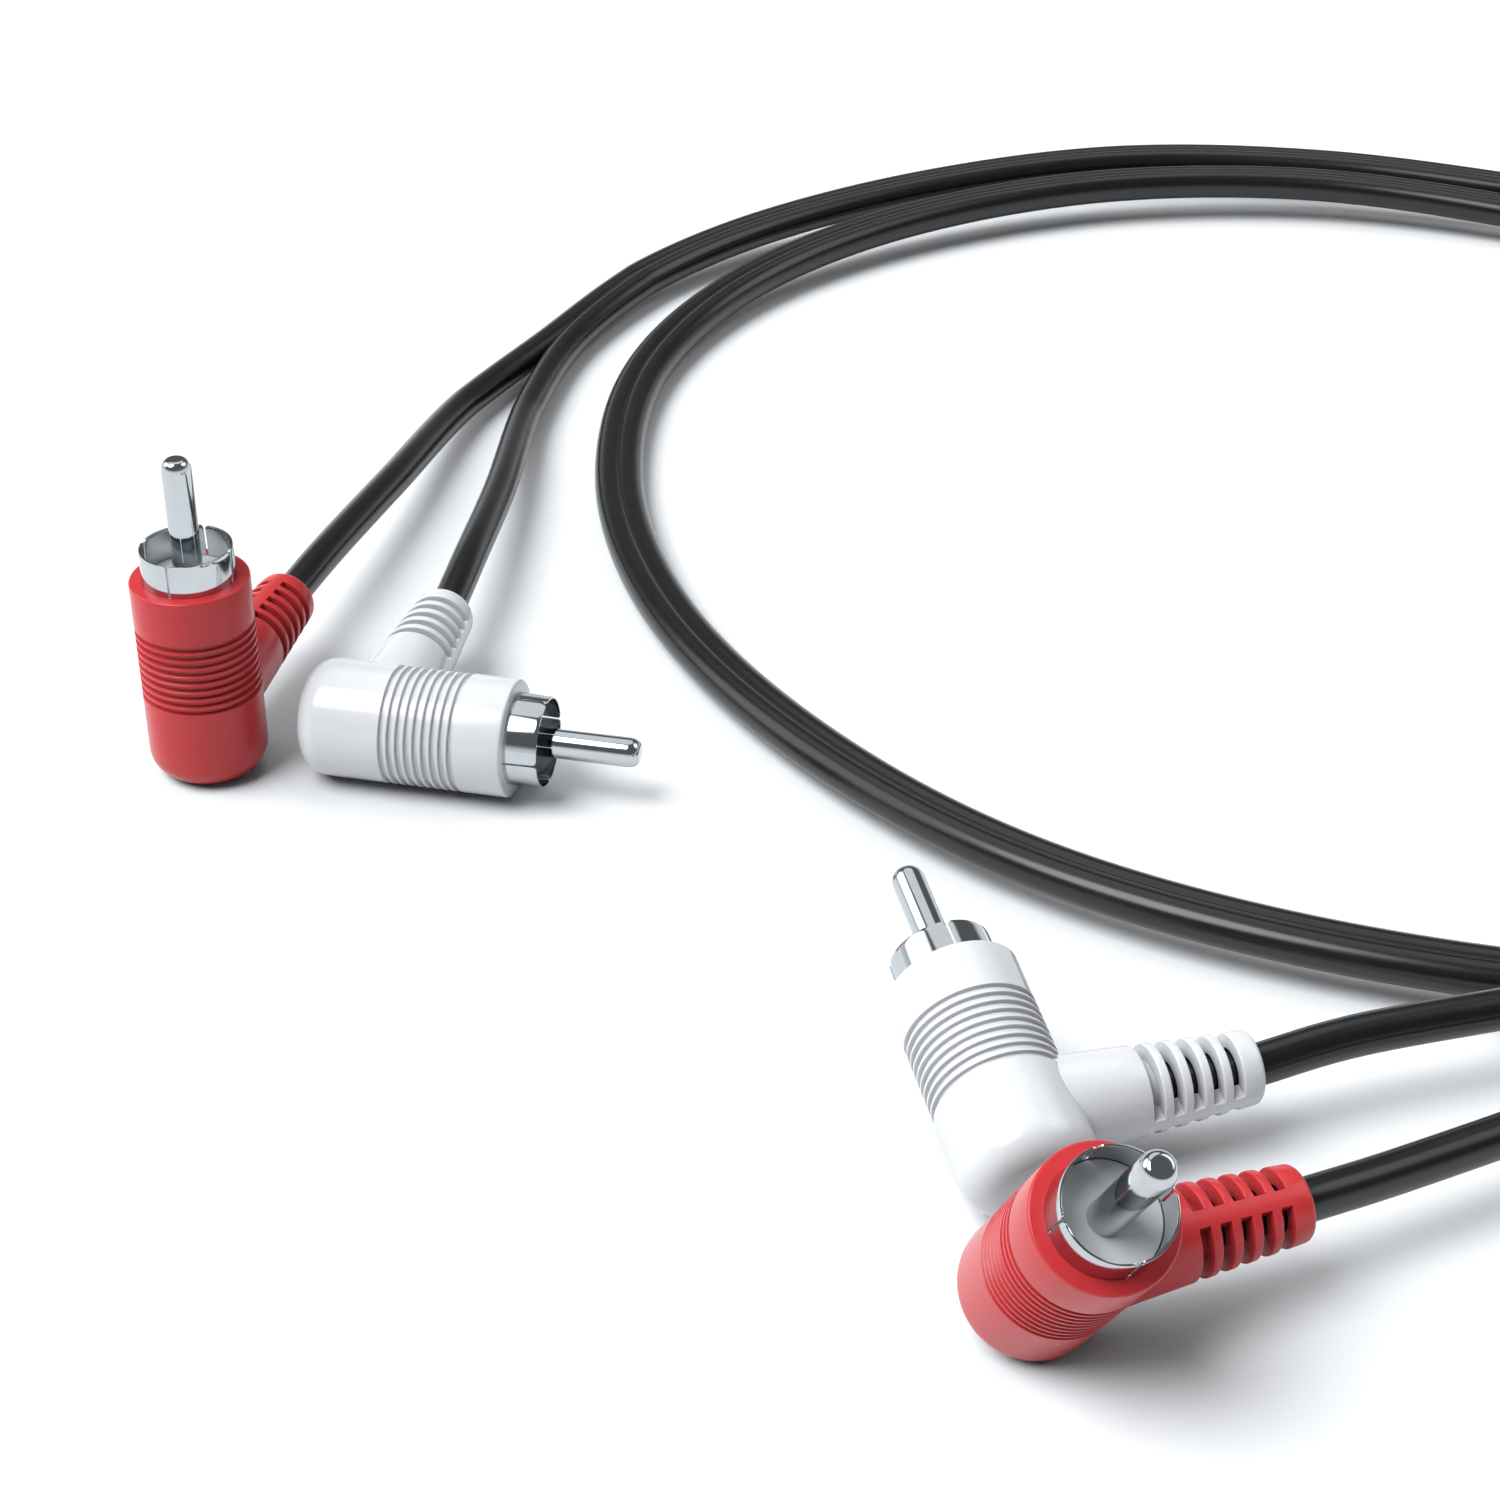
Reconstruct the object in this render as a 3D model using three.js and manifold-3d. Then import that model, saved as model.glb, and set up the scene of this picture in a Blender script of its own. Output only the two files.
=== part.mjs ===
import * as THREE from 'three';
import { mergeVertices } from 'three/addons/utils/BufferGeometryUtils.js';
import Module from 'manifold-3d';

// Stereo phono lead: two round cords joined side by side, with a red and a white right-angle plug
// at each end. Millimetres, +Z up. The floor is z = 0 and the origin is under the middle of the plugs.

// Housing body: a round moulding, with its closed end at z = 0, its pin along +Z and its arm along +X
const bodyDiameter = 12.8;
const bodyLength = 23.26;
const closedEndRounding = 3;
const frontEdgeChamfer = 0.26;

// Ring grooves round the body, counted from the front face back
const grooveCount = 9;
const grooveFromFront = 5.49;
const groovePitch = 0.953;
const grooveWidth = 0.5;
const grooveDepth = 0.3;

// Arm: the slotted strain relief that the cord leaves by, square to the body
const armHeight = 7.91;
const armLength = 23.57;
const armRootRadius = 5.07;
const armEndRadius = 3.42;
const armEndRounding = 0.6;

// Slots across the arm, counted from the body out, with a rib left along its front and back
const slotCount = 5;
const slotFromAxis = 12.25;
const slotPitch = 1.99;
const slotWidth = 1.1;
const slotRibWidth = 1.5;
const closedSlots = 1;

// Cord
const cordDiameter = 4;
const cordSpacing = 2.2;
const cordClearance = 0.2;
const boreWall = 0.4;

// Earth collar: a slit tube with an inward flange and a solder tag, pressed from one strip
const collarDiameter = 10.04;
const collarWall = 0.3;
const collarReach = 3.62;
const collarSeat = 3.6;
const collarClearance = 0.25;
const slitWidth = 0.25;
const tagWidth = 1.6;
const tagInset = 0.6;

// Insulator between collar and pin
const insulatorClearance = 0.22;
const hubRadius = 3;
const hubDrop = 1.4;

// Centre pin, with a solder cup at its inner end
const pinDiameter = 3.2;
const pinReach = 13.78;
const pinDome = 1.28;
const pinClearance = 0.25;
const shoulderRadius = 2.4;
const shoulderThickness = 0.8;
const cupDepth = 2;
const cupLength = 1.9;
const cupRadius = 1;

// Inside the housing
const seatGap = 0.3;
const floorWall = 1.3;
const innerMouldWall = 0.97;
const cordEndReach = 3;
const coreRadius = 0.4;
const sleeveWall = 0.3;
const pigtailRadius = 0.35;
const pigtailOffset = 1.2;

const bodySides = 20;
const armSides = 12;
const pinSides = 12;
const wireSides = 6;
const wireSteps = 12;
const cordSides = 8;
const twinSteps = 48;
const leadSteps = 8;

const red = { color: 0xcc3f3f, roughness: 0.35, metalness: 0 };
const white = { color: 0xf0f0f2, roughness: 0.35, metalness: 0 };
const black = { color: 0x1c1d1f, roughness: 0.45, metalness: 0 };
const nickel = { color: 0xc3c8cb, roughness: 0.12, metalness: 1 };
const copper = { color: 0xc06a3c, roughness: 0.3, metalness: 1 };
const paleResin = { color: 0xd9dadb, roughness: 0.5, metalness: 0 };
const clearResin = { color: 0xe9e6da, roughness: 0.6, metalness: 0 };

// Each plug's closed-end centre on the floor plan, and the ways that its pin and its arm point
const plugs = [
  { name: 'red_plug_1', finish: red, foot: [-50.15, 43.28],
    pin: [-0.014, 0, 1], arm: [0.261, 0.965, 0.0037] },
  { name: 'white_plug_1', finish: white, foot: [-38.97, 43.27],
    pin: [0.975, -0.224, 0], arm: [0.2236, 0.9744, 0.0235] },
  { name: 'white_plug_2', finish: white, foot: [34.02, -35.69],
    pin: [-0.287, 0.914, 0.288], arm: [0.955, 0.296, 0.015] },
  { name: 'red_plug_2', finish: red, foot: [31.83, -46.02],
    pin: [0.209, -0.538, 0.817], arm: [0.932, 0.364, 0.001] },
];

// Each single lead after its straight start at the plug, up to where it joins the twin cord
const singleLeads = [
  { name: 'red_lead_1', plug: 'red_plug_1', joins: 'start', side: 1,
    points: [[-41.4, 76.1, 7.9], [-35.6, 99, 6.1], [-28.2, 129.4, 3]] },
  { name: 'white_lead_1', plug: 'white_plug_1', joins: 'start', side: -1,
    points: [[-24.3, 76.9, 7.1], [-22.2, 98, 5.4], [-20.2, 128.1, 2.9]] },
  { name: 'white_lead_2', plug: 'white_plug_2', joins: 'end', side: -1,
    points: [[63.6, -17.9, 8.6], [85.5, -11.2, 8.4], [108.6, -2.6, 8.2]] },
  { name: 'red_lead_2', plug: 'red_plug_2', joins: 'end', side: 1,
    points: [[65.1, -36.7, 8.4], [90.3, -23.3, 8.2], [113.6, -7.6, 8.2]] },
];

// Centreline of the twin cord: two low loops that lie down on their right, and up over itself at its far end
const twinPoints = [
  [-17.5, 148.4, 2.6], [-7.7, 167, 3.2], [9.2, 184.4, 4], [35.7, 200.1, 4.8], [65.2, 209.3, 5.1],
  [95.1, 208, 5], [123, 199.9, 4.4], [155.7, 186.4, 3.2], [178.7, 152.4, 2.3], [187.7, 106.4, 2],
  [180.2, 57.4, 2], [157.7, 19.4, 2], [123.9, -2.3, 3], [92.6, -3.9, 4.2], [61.2, 4.1, 4.5],
  [35.7, 19, 4.2], [14.9, 42.5, 3.4], [-0.6, 72.3, 2.6], [-7.7, 106.6, 2.2], [-4.7, 140.7, 2.6],
  [8.8, 166.9, 3.6], [30.7, 185.9, 4.7], [60.8, 198.6, 5.2], [91.7, 200.1, 5.1], [120.4, 191.5, 4.4],
  [149.7, 175.4, 3.2], [169.6, 129.4, 2.3], [167.7, 74.4, 2], [146.2, 27.4, 3.4], [132.6, 12.4, 6],
];

// Sizes that follow from the ones above
const bodyRadius = bodyDiameter / 2;
const cordRadius = cordDiameter / 2;
const collarRadius = collarDiameter / 2;
const collarBore = collarRadius - collarWall;
const pinRadius = pinDiameter / 2;
const cavityRadius = collarRadius + collarClearance;
const boreRadius = cordRadius + cordClearance;
const slotFloorRadius = boreRadius + boreWall;
const cavityFloor = armHeight - boreRadius - floorWall;
const pinTop = bodyLength + pinReach;
const collarTop = bodyLength + collarReach;
const collarFoot = bodyLength - collarSeat;
const flangeTop = collarFoot + collarWall;
const flangeBore = hubRadius + seatGap;
const hubFoot = collarFoot - hubDrop;
const shoulderTop = hubFoot - seatGap;
const shoulderFoot = shoulderTop - shoulderThickness;
const pinFoot = shoulderFoot - cupLength;
const cupFloor = pinFoot + cupDepth;
const innerMouldRadius = cavityRadius - seatGap;
const channelRadius = innerMouldRadius - innerMouldWall;
const innerMouldTop = pinFoot - seatGap;
const tagOuter = collarBore - tagInset;
const tagInner = tagOuter - collarWall;

const wasm = await Module();
wasm.setup();

// A closed geometry as a solid that can be cut and joined
function solidOf(geometry) {
  const bare = geometry.clone();
  bare.deleteAttribute('normal');
  bare.deleteAttribute('uv');
  const merged = mergeVertices(bare, 1e-5);
  const corners = merged.index.array;
  const triangles = [];
  for (let i = 0; i < corners.length; i += 3) {
    const [a, b, c] = corners.slice(i, i + 3);
    if (a !== b && b !== c && c !== a) triangles.push(a, b, c);
  }
  return new wasm.Manifold(new wasm.Mesh({
    numProp: 3,
    vertProperties: new Float32Array(merged.attributes.position.array),
    triVerts: new Uint32Array(triangles),
  }));
}

function geometryOf(solid) {
  const mesh = solid.getMesh();
  const geometry = new THREE.BufferGeometry();
  geometry.setAttribute('position', new THREE.BufferAttribute(mesh.vertProperties, 3));
  geometry.setIndex(new THREE.BufferAttribute(mesh.triVerts, 1));
  geometry.computeVertexNormals();
  return geometry;
}

// A profile of [radius, z] pairs turned about +Z; it starts and ends on the axis, or closes on itself
function turned(profile, sides) {
  const points = profile.map(([radius, z]) => new THREE.Vector2(radius, z));
  return new THREE.LatheGeometry(points, sides).rotateX(Math.PI / 2);
}

function rod(radius, from, to, sides) {
  return turned([[0, from], [radius, from], [radius, to], [0, to]], sides);
}

// What was made along +Z, laid along the arm's axis
function alongArm(geometry) {
  return geometry.rotateY(Math.PI / 2).translate(0, 0, armHeight);
}

function block(x, y, z) {
  return new THREE.BoxGeometry(x[1] - x[0], y[1] - y[0], z[1] - z[0])
    .translate((x[0] + x[1]) / 2, (y[0] + y[1]) / 2, (z[0] + z[1]) / 2);
}

// A quarter round, from straight down at [radius, foot + size] to level at [radius - size, foot]
function quarterRound(radius, foot, size, steps) {
  const points = [];
  for (let i = 0; i <= steps; i++) {
    const angle = (i / steps) * Math.PI / 2;
    points.push([radius - size + size * Math.sin(angle), foot + size - size * Math.cos(angle)]);
  }
  return points;
}

function bodyProfile() {
  const profile = [[0, 0], ...quarterRound(bodyRadius, 0, closedEndRounding, 4)];
  for (let i = grooveCount - 1; i >= 0; i--) {
    const middle = bodyLength - grooveFromFront - i * groovePitch;
    profile.push([bodyRadius, middle - grooveWidth / 2]);
    profile.push([bodyRadius - grooveDepth, middle]);
    profile.push([bodyRadius, middle + grooveWidth / 2]);
  }
  profile.push([bodyRadius, bodyLength - frontEdgeChamfer]);
  profile.push([bodyRadius - frontEdgeChamfer, bodyLength], [0, bodyLength]);
  return profile;
}

function armSolid() {
  const squareFrom = armLength - armEndRounding;
  const radiusThere = armEndRadius + (armRootRadius - armEndRadius) * armEndRounding / armLength;
  const rounding = quarterRound(radiusThere, 0, armEndRounding, 2).reverse();
  const end = rounding.map(([radius, z]) => [radius, armLength - z]);
  const profile = [[0, 0], [armRootRadius, 0], [radiusThere, squareFrom], ...end.slice(1), [0, armLength]];
  return solidOf(alongArm(turned(profile, armSides)));
}

// The slots stop at the two ribs and open into the bore between them; a closed one stops at the bore's wall
function slotSolid() {
  const reach = armRootRadius + 1;
  const height = [armHeight - reach, armHeight + reach];
  const rib = slotRibWidth / 2;
  const kept = solidOf(alongArm(rod(slotFloorRadius, 0, armLength, armSides)));
  let slots = null;
  for (let i = 0; i < slotCount; i++) {
    const from = slotFromAxis + i * slotPitch;
    const width = [from, from + slotWidth];
    for (const span of [[-reach, -rib], [rib, reach]]) {
      let slot = solidOf(block(width, span, height));
      if (i < closedSlots) slot = slot.subtract(kept);
      slots = slots ? slots.add(slot) : slot;
    }
  }
  return slots;
}

function housing() {
  const cavity = solidOf(rod(cavityRadius, cavityFloor, bodyLength + 1, bodySides));
  const bore = solidOf(alongArm(rod(boreRadius, 0, armLength + 1, armSides)));
  return geometryOf(solidOf(turned(bodyProfile(), bodySides)).add(armSolid())
    .subtract(cavity).subtract(bore).subtract(slotSolid()));
}

function collar() {
  const shell = solidOf(turned([
    [flangeBore, collarFoot], [collarRadius, collarFoot], [collarRadius, collarTop],
    [collarBore, collarTop], [collarBore, flangeTop], [flangeBore, flangeTop], [flangeBore, collarFoot],
  ], bodySides));
  const slit = [-slitWidth / 2, slitWidth / 2];
  const across = [-collarRadius - 1, collarRadius + 1];
  const slitHeight = [bodyLength, collarTop + 1];
  const tagHeight = [pinFoot, collarFoot + collarWall / 2];
  const tag = block([tagInner, tagOuter], [-tagWidth / 2, tagWidth / 2], tagHeight);
  return geometryOf(shell.subtract(solidOf(block(slit, across, slitHeight)))
    .subtract(solidOf(block(across, slit, slitHeight))).add(solidOf(tag)));
}

function insulator() {
  const bore = pinRadius + pinClearance;
  const rim = collarBore - insulatorClearance;
  return turned([
    [bore, hubFoot], [hubRadius, hubFoot], [hubRadius, flangeTop + seatGap], [rim, flangeTop + seatGap],
    [rim, bodyLength], [bore, bodyLength], [bore, hubFoot],
  ], bodySides);
}

function pin() {
  const dome = quarterRound(pinRadius, 0, pinDome, 4).reverse().map(([radius, z]) => [radius, pinTop - z]);
  return turned([
    [0, cupFloor], [cupRadius, cupFloor], [cupRadius, pinFoot], [pinRadius, pinFoot],
    [pinRadius, shoulderFoot], [shoulderRadius, shoulderFoot], [shoulderRadius, shoulderTop],
    [pinRadius, shoulderTop], ...dome, [0, pinTop],
  ], pinSides);
}

// A cup-shaped inner moulding behind the pin, open to the bore and upwards
function innerMould() {
  const channel = boreRadius + seatGap / 2;
  return geometryOf(solidOf(rod(innerMouldRadius, cavityFloor + seatGap, innerMouldTop, bodySides))
    .subtract(solidOf(rod(channelRadius, armHeight, innerMouldTop + 1, bodySides)))
    .subtract(solidOf(alongArm(rod(channel, -channelRadius / 2, bodyRadius, armSides)))));
}

function cordEnd() {
  return alongArm(rod(cordRadius, cordEndReach, armLength, armSides));
}

function wire(points, radius, steps) {
  const outline = new THREE.Shape(circlePoints(radius, wireSides));
  const path = new THREE.CatmullRomCurve3(points.map((p) => new THREE.Vector3(...p)));
  return new THREE.ExtrudeGeometry(outline, { steps, extrudePath: path, bevelEnabled: false });
}

function coreWire() {
  const start = cordEndReach - seatGap;
  const top = cupFloor - seatGap;
  const bend = start / 2;
  return wire([
    [start, 0, armHeight], [bend, 0, armHeight + coreRadius], [0, 0, armHeight + start],
    [0, 0, (armHeight + start + top) / 2], [0, 0, top],
  ], coreRadius, wireSteps);
}

// What is left of the core's own insulation, on the upright stretch below the pin
function coreSleeve() {
  const inner = coreRadius + seatGap;
  const outer = inner + sleeveWall;
  const from = armHeight + cordEndReach;
  const to = pinFoot - seatGap;
  return turned([[inner, from], [outer, from], [outer, to], [inner, to], [inner, from]], pinSides);
}

// The twisted screen, from the cord's end up to the collar's tag
function shieldPigtail() {
  const start = cordEndReach - seatGap - pigtailRadius;
  const beside = tagInner - seatGap - pigtailRadius;
  const clear = armHeight + cordRadius + pigtailRadius + seatGap;
  return wire([
    [start, pigtailOffset, armHeight], [start - seatGap, pigtailOffset, armHeight + cordRadius / 2],
    [start, pigtailOffset, clear], [beside, pigtailOffset / 2, (clear + pinFoot) / 2],
    [beside, 0, pinFoot], [beside, 0, shoulderTop],
  ], pigtailRadius, wireSteps);
}

const plugPieces = [
  { name: 'housing', shape: housing() },
  { name: 'collar', shape: collar(), finish: nickel },
  { name: 'insulator', shape: insulator(), finish: paleResin },
  { name: 'pin', shape: pin(), finish: nickel },
  { name: 'inner_mould', shape: innerMould(), finish: clearResin },
  { name: 'cord_end', shape: cordEnd(), finish: black },
  { name: 'core_wire', shape: coreWire(), finish: copper },
  { name: 'core_sleeve', shape: coreSleeve(), finish: clearResin },
  { name: 'shield_pigtail', shape: shieldPigtail(), finish: copper },
];

function meshOf(name, geometry, finish) {
  const mesh = new THREE.Mesh(geometry, new THREE.MeshStandardMaterial(finish));
  mesh.name = name;
  return mesh;
}

// The plug's own axes: x along its arm, z along its pin
function plugTurn(plug) {
  const along = new THREE.Vector3(...plug.pin).normalize();
  const out = new THREE.Vector3(...plug.arm);
  out.addScaledVector(along, -out.dot(along)).normalize();
  return new THREE.Matrix4().makeBasis(out, along.clone().cross(out), along);
}

// How far the housing reaches below its closed end's centre when it is turned
function drop(turn) {
  const places = plugPieces[0].shape.attributes.position;
  const point = new THREE.Vector3();
  let lowest = Infinity;
  for (let i = 0; i < places.count; i++) {
    lowest = Math.min(lowest, point.fromBufferAttribute(places, i).applyMatrix4(turn).z);
  }
  return -lowest;
}

function plugGroup(plug) {
  const turn = plugTurn(plug);
  const group = new THREE.Group();
  group.quaternion.setFromRotationMatrix(turn);
  group.position.set(plug.foot[0], plug.foot[1], drop(turn));
  for (const piece of plugPieces) {
    group.add(meshOf(`${plug.name}_${piece.name}`, piece.shape.clone(), piece.finish ?? plug.finish));
  }
  group.updateMatrix();
  return group;
}

// A route that never sinks the cord into the floor
class CordRoute extends THREE.CatmullRomCurve3 {
  getPoint(t, target) {
    const point = super.getPoint(t, target);
    point.z = Math.max(point.z, cordRadius);
    return point;
  }
}

function circlePoints(radius, sides) {
  const points = [];
  for (let i = 0; i < sides; i++) {
    const angle = (i / sides) * 2 * Math.PI;
    points.push(new THREE.Vector2(radius * Math.cos(angle), radius * Math.sin(angle)));
  }
  return points;
}

// Two round cords side by side, joined where they meet; x is up and y is across
function twinOutline() {
  const valley = Math.acos(-cordSpacing / cordDiameter);
  const turns = [-valley, -Math.PI / 2, -Math.PI / 4, 0, Math.PI / 4, Math.PI / 2];
  const points = [];
  for (const side of [1, -1]) {
    for (const turn of turns) {
      const up = cordRadius * Math.sin(turn);
      points.push(new THREE.Vector2(side * up, side * (cordSpacing / 2 + cordRadius * Math.cos(turn))));
    }
  }
  return new THREE.Shape(points);
}

function cordAlong(points, outline, steps) {
  const route = new CordRoute(points.map((p) => new THREE.Vector3(...p)));
  return new THREE.ExtrudeGeometry(outline, { steps, extrudePath: route, bevelEnabled: false });
}

// Where a single lead meets an end of the twin cord, beside its fellow
function joint(lead) {
  const atStart = lead.joins === 'start';
  const end = twinPoints.at(atStart ? 0 : -1);
  const next = twinPoints.at(atStart ? 1 : -2);
  const inward = new THREE.Vector3(next[0] - end[0], next[1] - end[1], 0).normalize();
  const travel = inward.clone().multiplyScalar(atStart ? 1 : -1);
  const left = new THREE.Vector3(-travel.y, travel.x, 0);
  return new THREE.Vector3(...end).addScaledVector(inward, -seatGap)
    .addScaledVector(left, lead.side * (cordRadius + seatGap / 2)).toArray();
}

const lead = new THREE.Group();
const groups = {};
for (const plug of plugs) {
  groups[plug.name] = plugGroup(plug);
  lead.add(groups[plug.name]);
}
const roundOutline = new THREE.Shape(circlePoints(cordRadius, cordSides));
for (const single of singleLeads) {
  const start = new THREE.Vector3(armLength + seatGap, 0, armHeight).applyMatrix4(groups[single.plug].matrix);
  const points = [start.toArray(), ...single.points, joint(single)];
  lead.add(meshOf(single.name, cordAlong(points, roundOutline, leadSteps), black));
}
lead.add(meshOf('twin_lead', cordAlong(twinPoints, twinOutline(), twinSteps), black));

export default lead;
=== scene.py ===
import math

import bmesh
import bpy
from mathutils import Matrix, Vector


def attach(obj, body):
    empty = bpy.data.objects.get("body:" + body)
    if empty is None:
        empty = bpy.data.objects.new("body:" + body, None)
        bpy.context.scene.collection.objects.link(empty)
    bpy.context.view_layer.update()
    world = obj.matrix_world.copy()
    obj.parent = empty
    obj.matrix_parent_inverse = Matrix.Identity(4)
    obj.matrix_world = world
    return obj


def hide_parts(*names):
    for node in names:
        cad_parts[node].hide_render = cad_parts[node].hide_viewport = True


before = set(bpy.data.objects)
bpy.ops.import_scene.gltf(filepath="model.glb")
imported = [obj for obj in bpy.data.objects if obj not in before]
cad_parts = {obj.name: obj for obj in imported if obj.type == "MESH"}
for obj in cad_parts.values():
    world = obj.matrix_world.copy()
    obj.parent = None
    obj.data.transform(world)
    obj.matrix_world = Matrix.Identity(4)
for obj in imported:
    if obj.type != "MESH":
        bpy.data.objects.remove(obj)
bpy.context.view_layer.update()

mm = 0.001
weldDistance = 1e-7             # metres, for points that fall together


def linkPiece(name, data):
    piece = bpy.data.objects.new(name, data)
    bpy.context.scene.collection.objects.link(piece)
    return piece


# Smooth faces, with crisp edges where two faces meet at more than the angle
def shadeByAngle(mesh, degrees):
    work = bmesh.new()
    work.from_mesh(mesh)
    for face in work.faces:
        face.smooth = True
    for edge in work.edges:
        edge.smooth = edge.calc_face_angle(math.pi) < math.radians(degrees)
    work.to_mesh(mesh)
    work.free()
    return mesh


def meshFrom(name, work):
    bmesh.ops.remove_doubles(work, verts=work.verts, dist=weldDistance)
    bmesh.ops.recalc_face_normals(work, faces=work.faces)
    mesh = bpy.data.meshes.new(name)
    work.to_mesh(mesh)
    work.free()
    return mesh


# A profile of (radius, height) pairs turned about the local z axis
def turnedMesh(name, profile, sides):
    work = bmesh.new()
    rings = []
    for radius, height in profile:
        if radius == 0:
            rings.append([work.verts.new((0, 0, height))] * sides)
            continue
        turns = [2 * math.pi * i / sides for i in range(sides)]
        rings.append([work.verts.new((radius * math.cos(a), radius * math.sin(a), height))
                      for a in turns])
    for low, high in zip(rings, rings[1:]):
        for i in range(sides):
            j = (i + 1) % sides
            corners = dict.fromkeys([low[i], low[j], high[j], high[i]])
            if len(corners) > 2:
                work.faces.new(list(corners))
    return meshFrom(name, work)


# Points of a quarter round, from (radius, foot + tall) in to (radius - wide, foot)
def quarterRound(radius, foot, wide, tall, steps):
    points = []
    for i in range(steps + 1):
        angle = math.pi / 2 * i / steps
        points.append((radius - wide + wide * math.cos(angle), foot + tall - tall * math.sin(angle)))
    return points


# What a piece looks like with its modifiers, as a plain mesh
def settledMesh(piece):
    bpy.context.view_layer.update()
    return bpy.data.meshes.new_from_object(piece.evaluated_get(bpy.context.evaluated_depsgraph_get()))


def cutOrJoin(piece, other, operation):
    step = piece.modifiers.new("cut", "BOOLEAN")
    step.operation = operation
    step.solver = "EXACT"
    step.object = other
    result = settledMesh(piece)
    piece.modifiers.remove(step)
    piece.data = result
    bpy.data.objects.remove(other)
    return piece


# Adds a node to any tree: a value is set on its socket, and a socket is linked to it
def addNode(tree, kind, values=None, **settings):
    made = tree.nodes.new(kind)
    for key, value in settings.items():
        setattr(made, key, value)
    for key, value in (values or {}).items():
        if isinstance(value, bpy.types.NodeSocket):
            tree.links.new(value, made.inputs[key])
        else:
            made.inputs[key].default_value = value
    return made


# Geometry node trees

# A tree with one geometry and named inputs, to which nodes are added
class TreeMaker:
    def __init__(self, name, inputs):
        self.tree = bpy.data.node_groups.new(name, "GeometryNodeTree")
        self.tree.interface.new_socket("Geometry", in_out="INPUT", socket_type="NodeSocketGeometry")
        for label, kind in inputs:
            self.tree.interface.new_socket(label, in_out="INPUT", socket_type=kind)
        self.tree.interface.new_socket("Geometry", in_out="OUTPUT", socket_type="NodeSocketGeometry")
        self.start = self.tree.nodes.new("NodeGroupInput")

    def node(self, kind, values=None, **settings):
        return addNode(self.tree, kind, values, **settings)

    def math(self, operation, first, second=0.0, third=0.0):
        values = {0: first, 1: second, 2: third}
        return self.node("ShaderNodeMath", values, operation=operation).outputs[0]

    def given(self, label):
        return self.start.outputs[label]

    def finish(self, geometry):
        realized = self.node("GeometryNodeRealizeInstances", {0: geometry})
        finished = self.node("GeometryNodeSetMaterial",
                             {0: realized.outputs[0], "Material": self.given("Material")})
        end = self.tree.nodes.new("NodeGroupOutput")
        self.tree.links.new(finished.outputs[0], end.inputs[0])
        return self.tree


# Runs a tree on a piece with named values, and keeps the result as a plain mesh
def runTree(piece, tree, values):
    step = piece.modifiers.new("tree", "NODES")
    step.node_group = tree
    for item in tree.interface.items_tree:
        if item.in_out == "INPUT" and item.name in values:
            step[item.identifier] = values[item.name]
    result = settledMesh(piece)
    if piece.type == "MESH":
        piece.modifiers.remove(step)
        piece.data = result
        return piece
    name = piece.name
    bpy.data.objects.remove(piece)
    return linkPiece(name, result)


# Presses evenly spaced grooves into a round body that stands on z
def grooveTree():
    made = TreeMaker("pressedGrooves", [
        ("Top Groove", "NodeSocketFloat"), ("Pitch", "NodeSocketFloat"), ("Count", "NodeSocketInt"),
        ("Width", "NodeSocketFloat"), ("Depth", "NodeSocketFloat"), ("Flat Share", "NodeSocketFloat"),
        ("Material", "NodeSocketMaterial"),
    ])
    place = made.node("GeometryNodeInputPosition").outputs[0]
    parts = made.node("ShaderNodeSeparateXYZ", {0: place})
    below = made.math("SUBTRACT", made.given("Top Groove"), parts.outputs["Z"])
    turn = made.math("DIVIDE", below, made.given("Pitch"))
    nearest = made.math("ROUND", turn)
    last = made.math("SUBTRACT", made.given("Count"), 1.0)
    kept = made.node("ShaderNodeClamp", {"Value": nearest, "Min": 0.0, "Max": last}).outputs[0]
    away = made.math("ABSOLUTE", made.math("SUBTRACT", turn, kept))
    half = made.math("MULTIPLY", made.given("Width"), 0.5)
    share = made.math("DIVIDE", made.math("MULTIPLY", away, made.given("Pitch")), half)
    pressed = made.node("ShaderNodeMapRange", {"Value": share, "From Min": 1.0,
                        "From Max": made.given("Flat Share"), "To Max": 1.0},
                        interpolation_type="SMOOTHSTEP").outputs[0]
    depth = made.math("MULTIPLY", pressed, made.given("Depth"))
    flat = made.node("ShaderNodeCombineXYZ", {"X": parts.outputs["X"], "Y": parts.outputs["Y"]}).outputs[0]
    out = made.node("ShaderNodeVectorMath", {0: flat}, operation="NORMALIZE").outputs[0]
    move = made.node("ShaderNodeVectorMath", {0: out, "Scale": made.math("MULTIPLY", depth, -1.0)},
                     operation="SCALE").outputs[0]
    moved = made.node("GeometryNodeSetPosition", {0: made.given("Geometry"), "Offset": move})
    return made.finish(moved.outputs[0])


# Sets copies of one sector round the z axis and welds them into a whole ring
def sectorTree():
    made = TreeMaker("sectorRing", [("Count", "NodeSocketInt"), ("Weld", "NodeSocketFloat"),
                                    ("Material", "NodeSocketMaterial")])
    spots = made.node("GeometryNodeMeshLine", {"Count": made.given("Count"), "Offset": (0, 0, 0)})
    index = made.node("GeometryNodeInputIndex").outputs[0]
    turn = made.math("MULTIPLY", made.math("DIVIDE", index, made.given("Count")), 2 * math.pi)
    spin = made.node("ShaderNodeCombineXYZ", {"Z": turn}).outputs[0]
    copies = made.node("GeometryNodeInstanceOnPoints", {"Points": spots.outputs[0],
                       "Instance": made.given("Geometry"), "Rotation": spin})
    real = made.node("GeometryNodeRealizeInstances", {0: copies.outputs[0]})
    welded = made.node("GeometryNodeMergeByDistance", {0: real.outputs[0], "Distance": made.given("Weld")})
    return made.finish(welded.outputs[0])


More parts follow.
